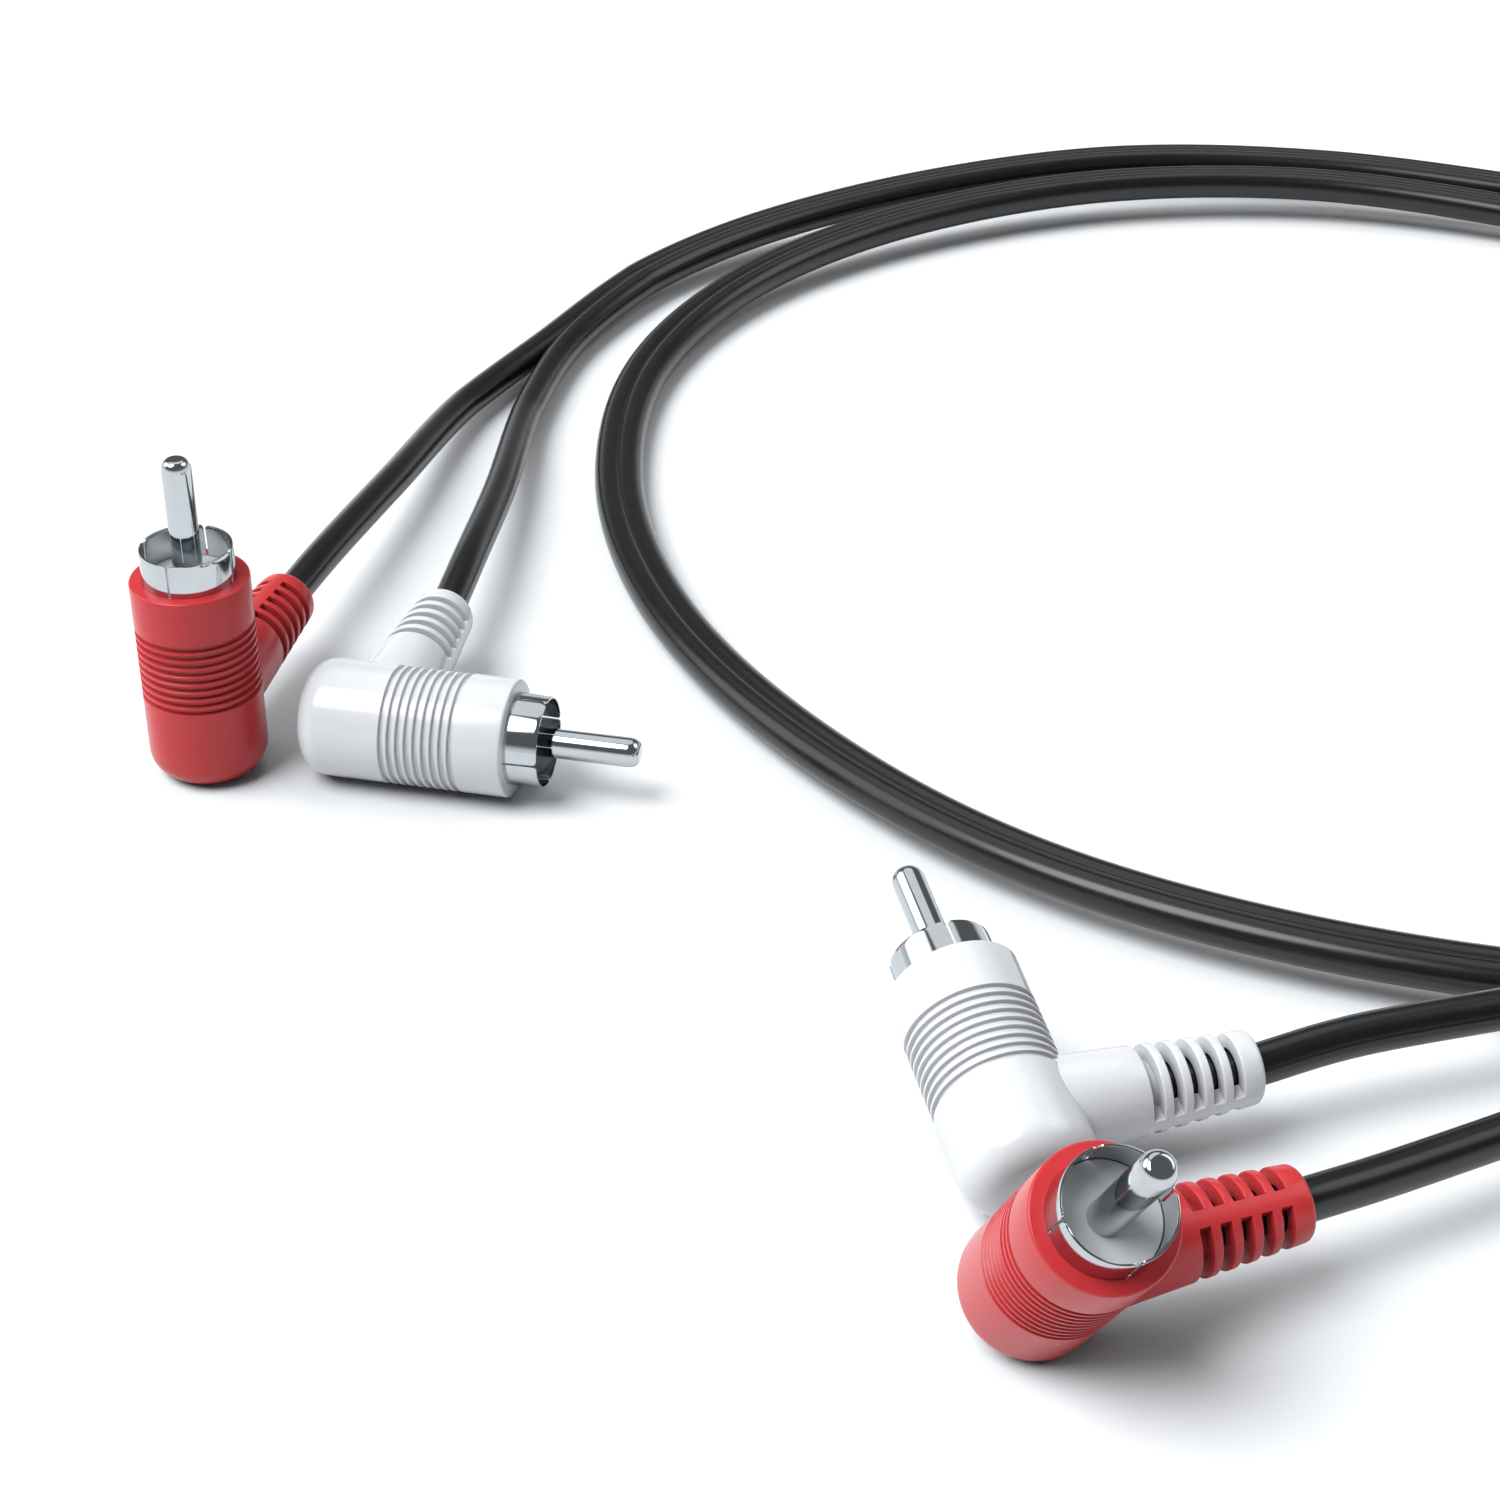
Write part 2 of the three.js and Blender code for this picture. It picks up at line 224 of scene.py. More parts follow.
# Draws a flat strip along a curve, standing on its edge
def stripTree():
    made = TreeMaker("stripAlong", [("Half Width", "NodeSocketFloat"), ("Half Height", "NodeSocketFloat"),
                                    ("Material", "NodeSocketMaterial")])
    wide = made.math("MULTIPLY", made.given("Half Width"), 2.0)
    tall = made.math("MULTIPLY", made.given("Half Height"), 2.0)
    section = made.node("GeometryNodeCurvePrimitiveQuadrilateral", {"Width": wide, "Height": tall})
    upright = made.node("GeometryNodeSetCurveNormal", {0: made.given("Geometry")}, mode="Z_UP")
    drawn = made.node("GeometryNodeCurveToMesh", {"Curve": upright.outputs[0],
                      "Profile Curve": section.outputs[0], "Fill Caps": True})
    return made.finish(drawn.outputs[0])


# Shader node groups and materials

# Cloudy tone and fine grain of a moulded or rolled surface, as a mask and a height
def surfaceGroup():
    tree = bpy.data.node_groups.new("surfaceTexture", "ShaderNodeTree")
    for label in ("Cloud Size", "Grain Size"):
        tree.interface.new_socket(label, in_out="INPUT", socket_type="NodeSocketFloat")
    for label in ("Cloud", "Grain"):
        tree.interface.new_socket(label, in_out="OUTPUT", socket_type="NodeSocketFloat")
    start = tree.nodes.new("NodeGroupInput")
    end = tree.nodes.new("NodeGroupOutput")
    place = tree.nodes.new("ShaderNodeTexCoord").outputs["Object"]
    for size, detail, output in (("Cloud Size", 3.0, "Cloud"), ("Grain Size", 2.0, "Grain")):
        scale = addNode(tree, "ShaderNodeMath", {0: 1.0, 1: start.outputs[size]}, operation="DIVIDE")
        noise = addNode(tree, "ShaderNodeTexNoise",
                        {"Vector": place, "Scale": scale.outputs[0], "Detail": detail})
        tree.links.new(noise.outputs["Fac"], end.inputs[output])
    return tree


surfaceTexture = surfaceGroup()

# Each finish's two tones and roughness, the sizes of its clouds and grain, and for the mouldings a duller
# colour
# that they throw on other surfaces: painted shade that darkens the shadows under and between the plugs and in
# the grooves, and keeps the red's pink glow off the floor
finishes = {
    "red_moulding": {"dark": (0.62, 0.035, 0.04), "light": (0.70, 0.048, 0.054), "roughness": (0.2, 0.3),
                     "cloud": 3 * mm, "grain": 0.12 * mm, "bump": 0.05, "metallic": 0,
                     "paintedShadeBounce": (0.14, 0.08, 0.08), "specular": 0.35},
    "white_moulding": {"dark": (0.83, 0.835, 0.85), "light": (0.88, 0.885, 0.895), "roughness": (0.13, 0.2),
                       "cloud": 3 * mm, "grain": 0.12 * mm, "bump": 0.04, "metallic": 0,
                       "paintedShadeBounce": (0.3, 0.3, 0.31)},
    "cord_jacket": {"dark": (0.005, 0.0052, 0.0055), "light": (0.009, 0.0093, 0.0097),
                    "roughness": (0.21, 0.28),
                    "cloud": 2 * mm, "grain": 0.1 * mm, "bump": 0.03, "metallic": 0},
    "nickel": {"dark": (0.46, 0.49, 0.505), "light": (0.53, 0.56, 0.58), "roughness": (0.05, 0.09),
               "cloud": 1.5 * mm, "grain": 0.06 * mm, "bump": 0.015, "metallic": 1},
    "insulator": {"dark": (0.62, 0.62, 0.63), "light": (0.70, 0.70, 0.71), "roughness": (0.4, 0.5),
                  "cloud": 2 * mm, "grain": 0.1 * mm, "bump": 0.05, "metallic": 0},
    "inner_resin": {"dark": (0.62, 0.60, 0.52), "light": (0.72, 0.70, 0.62), "roughness": (0.5, 0.6),
                    "cloud": 2 * mm, "grain": 0.1 * mm, "bump": 0.1, "metallic": 0},
    "copper": {"dark": (0.45, 0.18, 0.09), "light": (0.62, 0.28, 0.14), "roughness": (0.25, 0.4),
               "cloud": 0.5 * mm, "grain": 0.08 * mm, "bump": 0.1, "metallic": 1},
}


def makeFinish(name, look):
    material = bpy.data.materials.new(name)
    material.use_nodes = True
    tree = material.node_tree
    shader = tree.nodes["Principled BSDF"]
    texture = addNode(tree, "ShaderNodeGroup", node_tree=surfaceTexture)
    texture.inputs["Cloud Size"].default_value = look["cloud"]
    texture.inputs["Grain Size"].default_value = look["grain"]
    tone = addNode(tree, "ShaderNodeMix", {"Factor": texture.outputs["Cloud"], "A": (*look["dark"], 1),
                   "B": (*look["light"], 1)}, data_type="RGBA")
    rough = addNode(tree, "ShaderNodeMapRange", {"Value": texture.outputs["Cloud"],
                    "To Min": look["roughness"][0], "To Max": look["roughness"][1]})
    bump = addNode(tree, "ShaderNodeBump", {"Height": texture.outputs["Grain"], "Strength": look["bump"],
                   "Distance": look["grain"]})
    # To diffuse rays the moulding shows its duller colour: painted shade that darkens what it lights
    # indirectly
    if "paintedShadeBounce" in look:
        light = tree.nodes.new("ShaderNodeLightPath")
        tone = addNode(tree, "ShaderNodeMix", {"Factor": light.outputs["Is Diffuse Ray"],
                       "A": tone.outputs["Result"], "B": (*look["paintedShadeBounce"], 1)}, data_type="RGBA")
    tree.links.new(tone.outputs["Result"], shader.inputs["Base Color"])
    tree.links.new(rough.outputs["Result"], shader.inputs["Roughness"])
    tree.links.new(bump.outputs["Normal"], shader.inputs["Normal"])
    shader.inputs["Metallic"].default_value = look["metallic"]
    shader.inputs["Specular IOR Level"].default_value = look.get("specular", 0.5)
    return material


materials = {name: makeFinish(name, look) for name, look in finishes.items()}
print("materials made:", len(materials))


# The camera stands in front of the four plugs and looks down on them
camera = {
    "place": (0.00875, -0.25068, 0.18351),
    "pitch": 58.267,            # degrees from straight down
    "lens": 75.97,
    "sensor": 36,
    "clipStart": 0.01,
}


def makeCamera():
    data = bpy.data.cameras.new("camera")
    data.lens = camera["lens"]
    data.sensor_width = camera["sensor"]
    data.clip_start = camera["clipStart"]
    view = linkPiece("camera", data)
    view.location = camera["place"]
    view.rotation_euler = (math.radians(camera["pitch"]), 0, 0)
    bpy.context.scene.camera = view


makeCamera()


# Shapes of the plug, made once and set in place four times

# The housing's round body: closed end at z = 0, front face at its length
body = {
    "radius": 6.4 * mm,
    "length": 23.26 * mm,
    "endRounding": 3 * mm,
    "frontRounding": 0.26 * mm,
    "cavityRadius": 5.03 * mm,
    "cavityFloor": 4.41 * mm,
    "sides": 128,
    "endSteps": 12,
    "frontSteps": 4,
    "crispAngle": 32,           # degrees past which an edge stays sharp
}

# The ring grooves in the body
grooves = {
    "count": 9,
    "first": 5.49 * mm,         # from the front face back
    "pitch": 0.953 * mm,
    "width": 0.68 * mm,
    "depth": 0.4 * mm,
    "flatShare": 0.6,           # share of the width that has the whole depth
    "rows": 20,                 # rows of faces to each groove's pitch
}


def bodyMesh():
    radius, length = body["radius"], body["length"]
    rounding = body["endRounding"]
    closed = [(0, 0)] + quarterRound(radius, 0, rounding, rounding, body["endSteps"])[::-1]
    step = grooves["pitch"] / grooves["rows"]
    high = length - grooves["first"] + grooves["width"]
    low = length - grooves["first"] - (grooves["count"] - 1) * grooves["pitch"] - grooves["width"]
    rows = round((high - low) / step)
    ringed = [(radius, low + (high - low) * i / rows) for i in range(rows + 1)]
    rounding = body["frontRounding"]
    front = [(r, length - z) for r, z in quarterRound(radius, 0, rounding, rounding, body["frontSteps"])]
    return turnedMesh("body", closed + ringed + front + [(0, length)], body["sides"])


# The slotted arm, square to the body
arm = {
    "height": 7.91 * mm,
    "length": 23.57 * mm,
    "rootRadius": 5.07 * mm,
    "endRadius": 3.42 * mm,
    "endRounding": 0.6 * mm,
    "boreRadius": 2.2 * mm,
    "outletRadius": 2.02 * mm,
    "outletLength": 1.2 * mm,
    "slots": 5,
    "firstSlot": 12.25 * mm,
    "slotPitch": 1.99 * mm,
    "slotWidth": 1.1 * mm,
    "ringEdge": 0.17 * mm,      # rounding of the rings' edges
    "draft": 0.02 * mm,         # between a slot's edge and its first section
    "ribHalf": 0.75 * mm,       # half the width of the rib that joins the rings
    "core": 2.6 * mm,           # radius of what the closed slots leave standing
    "closedSlots": 1,           # how many of the first slots don't reach the bore
    "rootRows": 6,
    "edgeSteps": 4,
    "ribSteps": 2,
    "quarterSteps": 18,
    "wallSteps": 5,
    "endSteps": 6,
    "boreSides": 48,
}


# The arm's stations along its axis: (place, whether it lies in a slot, drop of the ring's edge, slot number)
def armStations():
    edge, draft = arm["ringEdge"], arm["draft"]
    rows, steps = arm["rootRows"], arm["edgeSteps"]
    stations = [(arm["firstSlot"] * row / rows, False, 0, 0) for row in range(rows)]
    curve = [(math.sin(a), 1 - math.cos(a)) for a in (math.pi / 2 / steps * i for i in range(steps + 1))]
    for number in range(arm["slots"]):
        start = arm["firstSlot"] + number * arm["slotPitch"]
        end = start + arm["slotWidth"]
        stations += [(start - edge + edge * s, False, edge * d, number) for s, d in curve]
        stations += [(x, True, 0, number) for x in (start + draft, (start + end) / 2, end - draft)]
        stations += [(end + edge - edge * s, False, edge * d, number) for s, d in curve[::-1]]
    return stations


def armRadius(place):
    return arm["rootRadius"] + (arm["endRadius"] - arm["rootRadius"]) * place / arm["length"]


# One quarter of the arm's section, from straight up round to straight sideways, as (side, up) pairs
def armQuarter(place, inSlot, drop, number):
    outer, rib = armRadius(place), arm["ribHalf"]
    corner = math.asin(rib / outer)
    turns = [corner * i / arm["ribSteps"] for i in range(arm["ribSteps"] + 1)]
    section = [(outer * math.sin(turn), outer * math.cos(turn)) for turn in turns]
    steps, wallSteps = arm["quarterSteps"], arm["wallSteps"]
    if not inSlot:
        for i in range(1, steps + 1):
            angle = corner + (math.pi / 2 - corner) * i / steps
            section.append(((outer - drop) * math.sin(angle), (outer - drop) * math.cos(angle)))
        return section
    top = outer * math.cos(corner)
    if number >= arm["closedSlots"]:
        return section + [(rib, top * (1 - i / steps)) for i in range(1, steps + 1)]
    foot, first = math.sqrt(arm["core"] ** 2 - rib ** 2), math.asin(rib / arm["core"])
    section += [(rib, top + (foot - top) * i / wallSteps) for i in range(1, wallSteps + 1)]
    for i in range(1, steps - wallSteps + 1):
        angle = first + (math.pi / 2 - first) * i / (steps - wallSteps)
        section.append((arm["core"] * math.sin(angle), arm["core"] * math.cos(angle)))
    return section


def armMesh():
    sections = [(station[0], armQuarter(*station)) for station in armStations()]
    roundFrom, steps = arm["length"] - arm["endRounding"], arm["endSteps"]
    for i in range(steps + 1):
        angle = math.pi / 2 * i / steps
        place = roundFrom + arm["endRounding"] * math.sin(angle)
        full = armQuarter(place, False, 0, 0)
        shrink = 1 - arm["endRounding"] * (1 - math.cos(angle)) / armRadius(place)
        sections.append((place, [(side * shrink, up * shrink) for side, up in full]))
    work = bmesh.new()
    rings = []
    for place, quarter in sections:
        back = quarter[::-1]
        whole = (quarter[:-1] + [(s, -u) for s, u in back][:-1]
                 + [(-s, -u) for s, u in quarter][:-1] + [(-s, u) for s, u in back][:-1])
        rings.append([work.verts.new((place, side, arm["height"] + up)) for side, up in whole])
    count = len(rings[0])
    for near, far in zip(rings, rings[1:]):
        for i in range(count):
            j = (i + 1) % count
            work.faces.new([near[i], near[j], far[j], far[i]])
    work.faces.new(rings[0])
    work.faces.new(rings[-1])
    return meshFrom("arm", work)


def housingMesh():
    shell = linkPiece("shell", bodyMesh())
    runTree(shell, grooveTree(), {
        "Top Groove": body["length"] - grooves["first"], "Pitch": grooves["pitch"], "Count": grooves["count"],
        "Width": grooves["width"], "Depth": grooves["depth"], "Flat Share": grooves["flatShare"],
        "Material": materials["white_moulding"],
    })
    cutOrJoin(shell, linkPiece("arm", armMesh()), "UNION")
    over = 2 * mm               # how far the cutters stand out of the openings
    cavity = [(0, body["cavityFloor"]), (body["cavityRadius"], body["cavityFloor"]),
              (body["cavityRadius"], body["length"] + over), (0, body["length"] + over)]
    cutOrJoin(shell, linkPiece("cavity", turnedMesh("cavity", cavity, body["sides"])), "DIFFERENCE")
    outlet = arm["length"] - arm["outletLength"]
    bore = [(0, 0), (arm["boreRadius"], 0), (arm["boreRadius"], outlet), (arm["outletRadius"], outlet),
            (arm["outletRadius"], arm["length"] + over), (0, arm["length"] + over)]
    drill = turnedMesh("bore", bore, arm["boreSides"])
    drill.transform(Matrix.Translation((0, 0, arm["height"])) @ Matrix.Rotation(math.pi / 2, 4, "Y"))
    cutOrJoin(shell, linkPiece("bore", drill), "DIFFERENCE")
    mesh = shadeByAngle(shell.data, body["crispAngle"])
    mesh.materials.clear()
    bpy.data.objects.remove(shell)
    return mesh


# The earth collar: a seat with an inward flange inside the body, and leaves that stand out of it
collar = {
    "radius": 5.02 * mm,
    "wall": 0.2 * mm,
    "reach": 3.62 * mm,
    "seat": 3.6 * mm,
    "flangeBore": 3.3 * mm,
    "slit": 0.25 * mm,
    "corner": 0.4 * mm,
    "lean": 0.1 * mm,           # how far the leaves lean in at their tips
    "edge": 0.05 * mm,
    "leaves": 4,
    "columns": 18,
    "rows": 8,
    "cornerSteps": 6,
    "edgeSteps": 2,
    "crispAngle": 50,
    "weld": 0.001 * mm,
    "tag": (3.82 * mm, 4.12 * mm, 0.8 * mm, 3.1 * mm),     # near and far face, half the width, length
}


# One quarter of the collar, its seat and a leaf with rounded corners between two slits, is set round the axis
def collarMesh():
    radius, bore = collar["radius"], collar["radius"] - collar["wall"]
    foot, face = body["length"] - collar["seat"], body["length"]
    shelf, flange = foot + collar["wall"], collar["flangeBore"]
    sector = 2 * math.pi / collar["leaves"]
    half = collar["slit"] / 2 / radius
    corner = collar["corner"]
    steps, rows = collar["cornerSteps"], collar["rows"]
    near = [corner / radius * (1 - math.cos(math.pi / 2 * i / steps)) for i in range(steps + 1)]
    middle = [near[-1] + (sector - 2 * half - 2 * near[-1]) * i / collar["columns"]
              for i in range(1, collar["columns"])]
    leaf = [half + turn for turn in near + middle] + [sector - half - turn for turn in near[::-1]]
    turns = [0] + leaf + [sector]
    work = bmesh.new()

    def point(r, turn, z):
        return work.verts.new((r * math.cos(turn), r * math.sin(turn), z))

    columns = []
    for number, turn in enumerate(turns):
        seat = [point(bore, turn, face), point(bore, turn, shelf), point(flange, turn, shelf),
                point(flange, turn, foot), point(radius, turn, foot), point(radius, turn, face)]
        if number in (0, len(turns) - 1):
            columns.append((seat, None, None))
            continue
        edge = min(turn - half, sector - half - turn) * radius
        inset = max(corner - edge, 0)
        top = face + collar["reach"] - corner + math.sqrt(max(corner ** 2 - inset ** 2, 0))
        heights = [(face + (top - face) * i / rows) for i in range(1, rows + 1)]
        leans = [collar["lean"] * ((z - face) / collar["reach"]) ** 2 for z in heights]
        inner = [seat[0]] + [point(bore - lean, turn, z) for lean, z in zip(leans, heights)]
        outer = [seat[-1]] + [point(radius - lean, turn, z) for lean, z in zip(leans, heights)]
        columns.append((seat, inner, outer))
    for (seatA, innerA, outerA), (seatB, innerB, outerB) in zip(columns, columns[1:]):
        for i in range(len(seatA) - 1):
            work.faces.new([seatA[i], seatB[i], seatB[i + 1], seatA[i + 1]])
        if innerA is None or innerB is None:
            work.faces.new([seatA[0], seatB[0], seatB[-1], seatA[-1]])
            continue
        for wallA, wallB in ((innerA, innerB), (outerA, outerB)):
            for i in range(rows):
                work.faces.new([wallA[i], wallB[i], wallB[i + 1], wallA[i + 1]])
        work.faces.new([innerA[-1], innerB[-1], outerB[-1], outerA[-1]])
    for _, inner, outer in (columns[1], columns[-2]):
        for i in range(rows):
            work.faces.new([inner[i], inner[i + 1], outer[i + 1], outer[i]])
    quarter = linkPiece("collar", meshFrom("collar", work))
    runTree(quarter, sectorTree(), {"Count": collar["leaves"], "Weld": collar["weld"],
                                    "Material": materials["nickel"]})
    work = bmesh.new()
    work.from_mesh(quarter.data)
    tagNear, tagFar, tagHalf, tagLength = collar["tag"]
    corners = [work.verts.new((x, y, z)) for x in (tagNear, tagFar) for y in (-tagHalf, tagHalf)
               for z in (foot - tagLength, foot + collar["wall"] / 2)]
    bmesh.ops.convex_hull(work, input=corners)
    bpy.data.objects.remove(quarter)
    sharp = linkPiece("collar", meshFrom("collar", work))
    bevel = sharp.modifiers.new("edges", "BEVEL")
    bevel.width = collar["edge"]
    bevel.segments = collar["edgeSteps"]
    bevel.limit_method = "ANGLE"
    bevel.angle_limit = math.radians(collar["crispAngle"])
    mesh = settledMesh(sharp)
    bpy.data.objects.remove(sharp)
    mesh.materials.clear()
    return shadeByAngle(mesh, collar["crispAngle"])


# The pale disc in the collar, with a hub behind it that holds the pin
insulator = {
    "bore": 1.6 * mm,
    "rim": 4.78 * mm,
    "hub": 3 * mm,
    "hubDrop": 1.4 * mm,
    "edge": 0.08 * mm,
    "edgeSteps": 4,
    "sides": 96,
    "crispAngle": 35,
}


def insulatorMesh():
    face, foot = body["length"], body["length"] - collar["seat"]
    bore, rim, hub, edge = insulator["bore"], insulator["rim"], insulator["hub"], insulator["edge"]
    shelf = foot + collar["wall"] + pin["gap"]
    low = foot - insulator["hubDrop"]
    front = [(r, face - z) for r, z in quarterRound(rim, 0, edge, edge, insulator["edgeSteps"])]
    profile = [(bore, low), (hub, low), (hub, shelf), (rim, shelf)] + front + [(bore, face), (bore, low)]
    return shadeByAngle(turnedMesh("insulator", profile, insulator["sides"]), insulator["crispAngle"])


# The centre pin, with a shoulder and a solder cup behind the hub
pin = {
    "radius": 1.6 * mm,
    "reach": 13.78 * mm,
    "tipFlat": 0.75 * mm,
    "tipLength": 1.25 * mm,
    "tipSteps": 12,
    "shoulder": 2.4 * mm,
    "shoulderThickness": 0.8 * mm,
    "gap": 0.3 * mm,            # to the insulator
    "cup": 1 * mm,
    "cupLength": 1.9 * mm,
    "cupDepth": 2 * mm,
    "shaftRows": 6,
    "sides": 64,
    "crispAngle": 35,
}


def pinMesh():
    radius, gap = pin["radius"], pin["gap"]
    shoulderTop = body["length"] - collar["seat"] - insulator["hubDrop"] - gap
    shoulderFoot = shoulderTop - pin["shoulderThickness"]
    foot = shoulderFoot - pin["cupLength"]
    cupFloor = foot + pin["cupDepth"]
    top = body["length"] + pin["reach"]
    dome = quarterRound(radius, 0, radius - pin["tipFlat"], pin["tipLength"], pin["tipSteps"])
    tip = [(r, top - z) for r, z in dome]
    rows = pin["shaftRows"]
    shaft = [(radius, shoulderTop + (tip[0][1] - shoulderTop) * i / rows) for i in range(rows)]
    rear = [(0, cupFloor), (pin["cup"], cupFloor), (pin["cup"], foot), (radius, foot),
            (radius, shoulderFoot), (pin["shoulder"], shoulderFoot), (pin["shoulder"], shoulderTop)]
    profile = rear + shaft + tip + [(0, top)]
    return shadeByAngle(turnedMesh("pin", profile, pin["sides"]), pin["crispAngle"])


shapes = {"shell": housingMesh(), "collar": collarMesh(), "insulator": insulatorMesh(), "pin": pinMesh()}
for name, mesh in shapes.items():
    print("shape", name, len(mesh.polygons), "faces")


# Each plug's closed-end middle on the floor, and the ways that its pin and its arm point
plugs = {
    "redFar": {"node": "red_plug_1", "foot": (-0.05015, 0.04328), "pin": (-0.014, 0, 1),
               "arm": (0.261, 0.965, 0.0037), "moulding": "red_moulding"},
    "whiteFar": {"node": "white_plug_1", "foot": (-0.03897, 0.04327), "pin": (0.975, -0.224, 0),
                 "arm": (0.2236, 0.9744, 0.0235), "moulding": "white_moulding"},
    "whiteNear": {"node": "white_plug_2", "foot": (0.03402, -0.03569), "pin": (-0.287, 0.914, 0.288),
                  "arm": (0.955, 0.296, 0.015), "moulding": "white_moulding"},
    "redNear": {"node": "red_plug_2", "foot": (0.03183, -0.04602), "pin": (0.209, -0.538, 0.817),
                "arm": (0.932, 0.364, 0.001), "moulding": "red_moulding"},
}


# The plug's own axes, lifted so that its housing rests on the floor
def plugPlace(plug):
    along = Vector(plug["pin"]).normalized()
    out = Vector(plug["arm"])
    out = (out - along * out.dot(along)).normalized()
    turn = Matrix((out, along.cross(out), along)).transposed().to_4x4()
    lowest = min((turn @ vertex.co).z for vertex in shapes["shell"].vertices)
    return Matrix.Translation((*plug["foot"], -lowest)) @ turn


places = {name: plugPlace(plug) for name, plug in plugs.items()}


# Cords

# Both cords, in metres: each single stretch after its start at the plug, and the middle of the joined stretch
cord = {
    "radius": 2 * mm,
    "spacing": 2.2 * mm,        # between the middles of the joined cords
    "insideArm": 20.5 * mm,     # how far each cord reaches into its plug's arm
    "step": 1.6 * mm,
    "leastSteps": 2,            # between two points of a route
    "easing": 36,               # how often the bends at the forks are eased
    "forkReach": 14,            # over how many steps each way
    "rings": 7,                 # bevel resolution of the round section
    "singles": {
        "redFar": [(-0.0414, 0.0761, 0.0079), (-0.0356, 0.099, 0.0061), (-0.0282, 0.1294, 0.003)],
        "whiteFar": [(-0.0243, 0.0769, 0.0071), (-0.0222, 0.098, 0.0054), (-0.0202, 0.1281, 0.0029)],
        "whiteNear": [(0.0636, -0.0179, 0.0086), (0.0855, -0.0112, 0.0084), (0.1086, -0.0026, 0.0082)],
        "redNear": [(0.0651, -0.0367, 0.0084), (0.0903, -0.0233, 0.0082), (0.1136, -0.0076, 0.0082)],
    },
    "joined": [
        (-0.0175, 0.1484, 0.0026), (-0.0077, 0.167, 0.0032), (0.0092, 0.1844, 0.004),
        (0.0357, 0.2001, 0.0048), (0.0652, 0.2093, 0.0051), (0.0951, 0.208, 0.005),
        (0.123, 0.1999, 0.0044), (0.1557, 0.1864, 0.0032), (0.1787, 0.1524, 0.0023),
        (0.1877, 0.1064, 0.002), (0.1802, 0.0574, 0.002), (0.1577, 0.0194, 0.002),
        (0.1239, -0.0023, 0.003), (0.0926, -0.0039, 0.0042), (0.0612, 0.0041, 0.0045),
        (0.0357, 0.019, 0.0042), (0.0149, 0.0425, 0.0034), (-0.0006, 0.0723, 0.0026),
        (-0.0077, 0.1066, 0.0022), (-0.0047, 0.1407, 0.0026), (0.0088, 0.1669, 0.0036),
        (0.0307, 0.1859, 0.0047), (0.0608, 0.1986, 0.0052), (0.0917, 0.2001, 0.0051),
        (0.1204, 0.1915, 0.0044), (0.1497, 0.1754, 0.0032), (0.1696, 0.1294, 0.0023),
        (0.1677, 0.0744, 0.002), (0.1462, 0.0274, 0.0034), (0.1326, 0.0124, 0.006),
    ],
}


# A smooth route through the points, in equal shares of each gap
def routeThrough(points):
    points = [Vector(p) for p in points]
    line = [2 * points[0] - points[1]] + points + [2 * points[-1] - points[-2]]
    route = []
    for p0, p1, p2, p3 in zip(line, line[1:], line[2:], line[3:]):
        gaps = [math.sqrt((b - a).length) for a, b in ((p0, p1), (p1, p2), (p2, p3))]
        t1 = ((p1 - p0) / gaps[0] - (p2 - p0) / (gaps[0] + gaps[1]) + (p2 - p1) / gaps[1]) * gaps[1]
        t2 = ((p2 - p1) / gaps[1] - (p3 - p1) / (gaps[1] + gaps[2]) + (p3 - p2) / gaps[2]) * gaps[1]
        steps = max(cord["leastSteps"], round((p2 - p1).length / cord["step"]))
        for i in range(steps):
            t = i / steps
            bend = -3 * p1 + 3 * p2 - 2 * t1 - t2
            route.append(p1 + t1 * t + bend * t ** 2 + (2 * p1 - 2 * p2 + t1 + t2) * t ** 3)
    route.append(points[-1])
    for point in route:
        point.z = max(point.z, cord["radius"])
    return route


# A route moved sideways on the level, to the left of its way
def movedLeft(route, distance):
    moved = []
    for i, point in enumerate(route):
        way = route[min(i + 1, len(route) - 1)] - route[max(i - 1, 0)]
        left = Vector((-way.y, way.x, 0)).normalized()
        moved.append(point + left * distance)
    return moved


# A route with its bends eased for so many points each way from the one in the middle
def easedAt(route, middle, reach):
    for _ in range(cord["easing"]):
        before = list(route)
        for i in range(max(middle - reach, 1), min(middle + reach, len(route) - 1)):
            route[i] = (before[i - 1] + 2 * before[i] + before[i + 1]) / 4
    return route


def lengthOf(route):
    return sum((b - a).length for a, b in zip(route, route[1:]))


joinedRoute = routeThrough(cord["joined"])


# From inside the plug's arm, out of its end and up to the joined stretch
def singleRoute(name, end):
    inside = places[name] @ Vector((arm["length"] - cord["insideArm"], 0, arm["height"]))
    outlet = places[name] @ Vector((arm["length"], 0, arm["height"]))
    return [inside, (inside + outlet) / 2] + routeThrough([outlet, *cord["singles"][name], end])


def drawLine(name, points):
    data = bpy.data.curves.new(name, "CURVE")
    data.dimensions = "3D"
    spline = data.splines.new("POLY")
    spline.points.add(len(points) - 1)
    for point, place in zip(spline.points, points):
        point.co = (*place, 1)
    return linkPiece(name, data)


def drawCord(name, route):
    piece = drawLine(name, route)
    piece.data.bevel_depth = cord["radius"]
    piece.data.bevel_resolution = cord["rings"]
    piece.data.use_fill_caps = True
    piece.data.materials.append(materials["cord_jacket"])
    return piece


